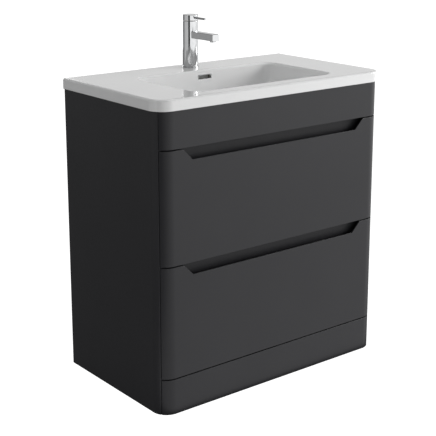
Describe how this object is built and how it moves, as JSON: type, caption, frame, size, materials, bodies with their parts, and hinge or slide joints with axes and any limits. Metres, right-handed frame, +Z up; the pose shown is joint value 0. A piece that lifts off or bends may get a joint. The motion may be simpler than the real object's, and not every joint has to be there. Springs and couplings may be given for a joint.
{
  "type": "bathroom vanity cabinet",
  "caption": "Floor-standing vanity cabinet with rounded front corners, drawers with finger slots, an inset washbasin and a single-lever mixer tap.",
  "frame": {"origin": "on the floor, under the middle of the basin's outline", "axes": "+X to the right seen from the front, -Y out of the drawer fronts, +Z up"},
  "size_m": [0.81, 0.465, 1.019],
  "materials": {
    "lacquer": "matt anthracite lacquer on fibreboard",
    "drawer_board": "textile-grain melamine on particle board",
    "ceramic": "gloss white glaze",
    "chrome": "polished chrome plate on brass",
    "zinc_steel": "bright zinc-plated pressed steel",
    "white_plastic": "moulded white polypropylene",
    "brass": "machined brass"
  },
  "bodies": {
    "cabinet": {"plinth_front": "lacquer", "top_fascia": "lacquer", "upper_finger_rail": "lacquer", "lower_finger_rail": "lacquer", "side_panel_left": "lacquer", "side_panel_right": "lacquer", "base_panel": "drawer_board", "upper_back_rail": "drawer_board", "lower_back_rail": "drawer_board", "plinth_block_left": "drawer_board", "plinth_block_right": "drawer_board", "fascia_block_left": "drawer_board", "fascia_block_right": "drawer_board", "wall_bracket_left": "zinc_steel", "wall_bracket_right": "zinc_steel", "lower_runner_cabinet_left": "zinc_steel", "lower_runner_cabinet_right": "zinc_steel", "upper_runner_cabinet_left": "zinc_steel", "upper_runner_cabinet_right": "zinc_steel", "basin": "ceramic", "overflow_trim": "chrome", "waste_flange": "chrome", "tap_body": "chrome", "tap_base_ring": "chrome", "tap_aerator": "chrome", "overflow_duct": "white_plastic", "waste_collar": "white_plastic", "waste_pipe": "white_plastic", "trap_body": "white_plastic", "trap_cup": "white_plastic", "trap_outlet": "white_plastic", "tap_cartridge": "white_plastic", "waste_nut": "brass", "tap_nut": "brass"},
    "upper_drawer": {"upper_drawer_front": "lacquer", "upper_drawer_side_left": "drawer_board", "upper_drawer_side_right": "drawer_board", "upper_drawer_back": "drawer_board", "upper_drawer_base": "drawer_board", "upper_front_bracket_left": "zinc_steel", "upper_front_bracket_right": "zinc_steel", "upper_runner_drawer_left": "zinc_steel", "upper_runner_drawer_right": "zinc_steel"},
    "upper_runners": {"upper_runner_middle_left": "zinc_steel", "upper_runner_middle_right": "zinc_steel"},
    "lower_drawer": {"lower_drawer_front": "lacquer", "lower_drawer_side_left": "drawer_board", "lower_drawer_side_right": "drawer_board", "lower_drawer_back": "drawer_board", "lower_drawer_base": "drawer_board", "lower_front_bracket_left": "zinc_steel", "lower_front_bracket_right": "zinc_steel", "lower_runner_drawer_left": "zinc_steel", "lower_runner_drawer_right": "zinc_steel"},
    "lower_runners": {"lower_runner_middle_left": "zinc_steel", "lower_runner_middle_right": "zinc_steel"},
    "tap_swivel": {"tap_carrier": "brass"},
    "tap_handle": {"tap_cap": "chrome", "tap_lever": "chrome"},
    "waste_stopper": {"waste_plug": "chrome"}
  },
  "joints": [
    {"name": "upper_drawer_slide", "type": "slide", "parent": "cabinet", "child": "upper_drawer", "axis": [0, -1, 0], "range_m": [0, 0.33]},
    {"name": "upper_runner_slide", "type": "slide", "parent": "cabinet", "child": "upper_runners", "axis": [0, -1, 0], "range_m": [0, 0.165]},
    {"name": "lower_drawer_slide", "type": "slide", "parent": "cabinet", "child": "lower_drawer", "axis": [0, -1, 0], "range_m": [0, 0.33]},
    {"name": "lower_runner_slide", "type": "slide", "parent": "cabinet", "child": "lower_runners", "axis": [0, -1, 0], "range_m": [0, 0.165]},
    {"name": "tap_temperature_turn", "type": "hinge", "parent": "cabinet", "child": "tap_swivel", "pos_m": [0, 0.172, 1], "axis": [0, 0, 1], "range_deg": [-45, 45]},
    {"name": "tap_flow_lift", "type": "hinge", "parent": "tap_swivel", "child": "tap_handle", "pos_m": [0, 0.182, 1.002], "axis": [-1, 0, 0], "range_deg": [0, 18]},
    {"name": "waste_plug_travel", "type": "slide", "parent": "cabinet", "child": "waste_stopper", "axis": [0, 0, 1], "range_m": [0, 0.008]}
  ],
  "couplings": [
    {"joint": "upper_runner_slide", "follows": "upper_drawer_slide", "ratio": 0.5},
    {"joint": "lower_runner_slide", "follows": "lower_drawer_slide", "ratio": 0.5}
  ]
}
